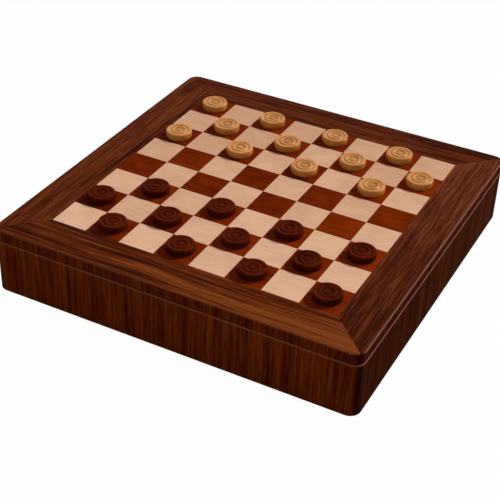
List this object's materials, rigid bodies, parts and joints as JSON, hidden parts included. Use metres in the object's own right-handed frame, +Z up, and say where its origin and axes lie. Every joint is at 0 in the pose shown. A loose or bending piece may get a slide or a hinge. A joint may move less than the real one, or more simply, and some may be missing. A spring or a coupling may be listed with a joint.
{
  "type": "games compendium box",
  "caption": "Square veneered games box whose lift-off lid is a chequered board set out with turned draughts, over a lined tray of chessmen, dominoes, cards and dice.",
  "frame": {"origin": "middle of the underside, on the table", "axes": "+X along the front edge to the right, +Y from the front to the back, +Z up"},
  "size_m": [0.408, 0.408, 0.082],
  "materials": {
    "walnut_border": "satin lacquered walnut veneer, grain along each side",
    "walnut_side": "satin lacquered walnut veneer, upright grain",
    "maple": "satin lacquered pale maple veneer",
    "padauk": "satin lacquered reddish brown veneer",
    "boxwood": "waxed turned boxwood",
    "rosewood": "glossy turned dark wood",
    "cedar": "plain waxed inner wood",
    "ply": "plain plywood panel",
    "baize": "dyed wool baize",
    "card": "coated playing card",
    "ivory": "polished cream resin"
  },
  "bodies": {
    "case": {"case_wall_front": "walnut_side", "case_wall_right": "walnut_side", "case_wall_back": "walnut_side", "case_wall_left": "walnut_side", "case_bottom": "ply", "underside_baize": "baize", "floor_baize": "baize", "liner_front": "cedar", "liner_right": "cedar", "liner_back": "cedar", "liner_left": "cedar", "tray_bearers": "cedar"},
    "lid": {"lid_side_front": "walnut_side", "lid_side_right": "walnut_side", "lid_side_back": "walnut_side", "lid_side_left": "walnut_side", "border_front": "walnut_border", "border_right": "walnut_border", "border_back": "walnut_border", "border_left": "walnut_border", "lid_core": "ply", "light_squares": "maple", "dark_squares": "padauk", "lid_baize": "baize"},
    "tray": {"tray_floor": "cedar", "tray_wall_front": "cedar", "tray_wall_right": "cedar", "tray_wall_back": "cedar", "tray_wall_left": "cedar", "tray_dividers": "cedar", "tray_baize": "baize", "light_chessmen": "boxwood", "dark_chessmen": "rosewood", "dominoes": "ivory", "dice": "ivory", "card_packs": "card"},
    "light_draught_1": {"light_draught_1": "boxwood"},
    "light_draught_2": {"light_draught_2": "boxwood"},
    "light_draught_3": {"light_draught_3": "boxwood"},
    "light_draught_4": {"light_draught_4": "boxwood"},
    "light_draught_5": {"light_draught_5": "boxwood"},
    "light_draught_6": {"light_draught_6": "boxwood"},
    "light_draught_7": {"light_draught_7": "boxwood"},
    "light_draught_8": {"light_draught_8": "boxwood"},
    "light_draught_9": {"light_draught_9": "boxwood"},
    "light_draught_10": {"light_draught_10": "boxwood"},
    "light_draught_11": {"light_draught_11": "boxwood"},
    "light_draught_12": {"light_draught_12": "boxwood"},
    "dark_draught_1": {"dark_draught_1": "rosewood"},
    "dark_draught_2": {"dark_draught_2": "rosewood"},
    "dark_draught_3": {"dark_draught_3": "rosewood"},
    "dark_draught_4": {"dark_draught_4": "rosewood"},
    "dark_draught_5": {"dark_draught_5": "rosewood"},
    "dark_draught_6": {"dark_draught_6": "rosewood"},
    "dark_draught_7": {"dark_draught_7": "rosewood"},
    "dark_draught_8": {"dark_draught_8": "rosewood"},
    "dark_draught_9": {"dark_draught_9": "rosewood"},
    "dark_draught_10": {"dark_draught_10": "rosewood"},
    "dark_draught_11": {"dark_draught_11": "rosewood"},
    "dark_draught_12": {"dark_draught_12": "rosewood"}
  },
  "joints": [
    {"name": "board_lid_lift", "type": "slide", "parent": "case", "child": "lid", "axis": [0, 0, 1], "range_m": [0, 0.14]},
    {"name": "games_tray_lift", "type": "slide", "parent": "case", "child": "tray", "axis": [0, 0, 1], "range_m": [0, 0.07]},
    {"name": "light_draught_1_lift", "type": "slide", "parent": "lid", "child": "light_draught_1", "axis": [0, 0, 1], "range_m": [0, 0.04]},
    {"name": "light_draught_2_lift", "type": "slide", "parent": "lid", "child": "light_draught_2", "axis": [0, 0, 1], "range_m": [0, 0.04]},
    {"name": "light_draught_3_lift", "type": "slide", "parent": "lid", "child": "light_draught_3", "axis": [0, 0, 1], "range_m": [0, 0.04]},
    {"name": "light_draught_4_lift", "type": "slide", "parent": "lid", "child": "light_draught_4", "axis": [0, 0, 1], "range_m": [0, 0.04]},
    {"name": "light_draught_5_lift", "type": "slide", "parent": "lid", "child": "light_draught_5", "axis": [0, 0, 1], "range_m": [0, 0.04]},
    {"name": "light_draught_6_lift", "type": "slide", "parent": "lid", "child": "light_draught_6", "axis": [0, 0, 1], "range_m": [0, 0.04]},
    {"name": "light_draught_7_lift", "type": "slide", "parent": "lid", "child": "light_draught_7", "axis": [0, 0, 1], "range_m": [0, 0.04]},
    {"name": "light_draught_8_lift", "type": "slide", "parent": "lid", "child": "light_draught_8", "axis": [0, 0, 1], "range_m": [0, 0.04]},
    {"name": "light_draught_9_lift", "type": "slide", "parent": "lid", "child": "light_draught_9", "axis": [0, 0, 1], "range_m": [0, 0.04]},
    {"name": "light_draught_10_lift", "type": "slide", "parent": "lid", "child": "light_draught_10", "axis": [0, 0, 1], "range_m": [0, 0.04]},
    {"name": "light_draught_11_lift", "type": "slide", "parent": "lid", "child": "light_draught_11", "axis": [0, 0, 1], "range_m": [0, 0.04]},
    {"name": "light_draught_12_lift", "type": "slide", "parent": "lid", "child": "light_draught_12", "axis": [0, 0, 1], "range_m": [0, 0.04]},
    {"name": "dark_draught_1_lift", "type": "slide", "parent": "lid", "child": "dark_draught_1", "axis": [0, 0, 1], "range_m": [0, 0.04]},
    {"name": "dark_draught_2_lift", "type": "slide", "parent": "lid", "child": "dark_draught_2", "axis": [0, 0, 1], "range_m": [0, 0.04]},
    {"name": "dark_draught_3_lift", "type": "slide", "parent": "lid", "child": "dark_draught_3", "axis": [0, 0, 1], "range_m": [0, 0.04]},
    {"name": "dark_draught_4_lift", "type": "slide", "parent": "lid", "child": "dark_draught_4", "axis": [0, 0, 1], "range_m": [0, 0.04]},
    {"name": "dark_draught_5_lift", "type": "slide", "parent": "lid", "child": "dark_draught_5", "axis": [0, 0, 1], "range_m": [0, 0.04]},
    {"name": "dark_draught_6_lift", "type": "slide", "parent": "lid", "child": "dark_draught_6", "axis": [0, 0, 1], "range_m": [0, 0.04]},
    {"name": "dark_draught_7_lift", "type": "slide", "parent": "lid", "child": "dark_draught_7", "axis": [0, 0, 1], "range_m": [0, 0.04]},
    {"name": "dark_draught_8_lift", "type": "slide", "parent": "lid", "child": "dark_draught_8", "axis": [0, 0, 1], "range_m": [0, 0.04]},
    {"name": "dark_draught_9_lift", "type": "slide", "parent": "lid", "child": "dark_draught_9", "axis": [0, 0, 1], "range_m": [0, 0.04]},
    {"name": "dark_draught_10_lift", "type": "slide", "parent": "lid", "child": "dark_draught_10", "axis": [0, 0, 1], "range_m": [0, 0.04]},
    {"name": "dark_draught_11_lift", "type": "slide", "parent": "lid", "child": "dark_draught_11", "axis": [0, 0, 1], "range_m": [0, 0.04]},
    {"name": "dark_draught_12_lift", "type": "slide", "parent": "lid", "child": "dark_draught_12", "axis": [0, 0, 1], "range_m": [0, 0.04]}
  ],
  "couplings": [
    {"joint": "games_tray_lift", "follows": "board_lid_lift", "ratio": 0.5}
  ]
}
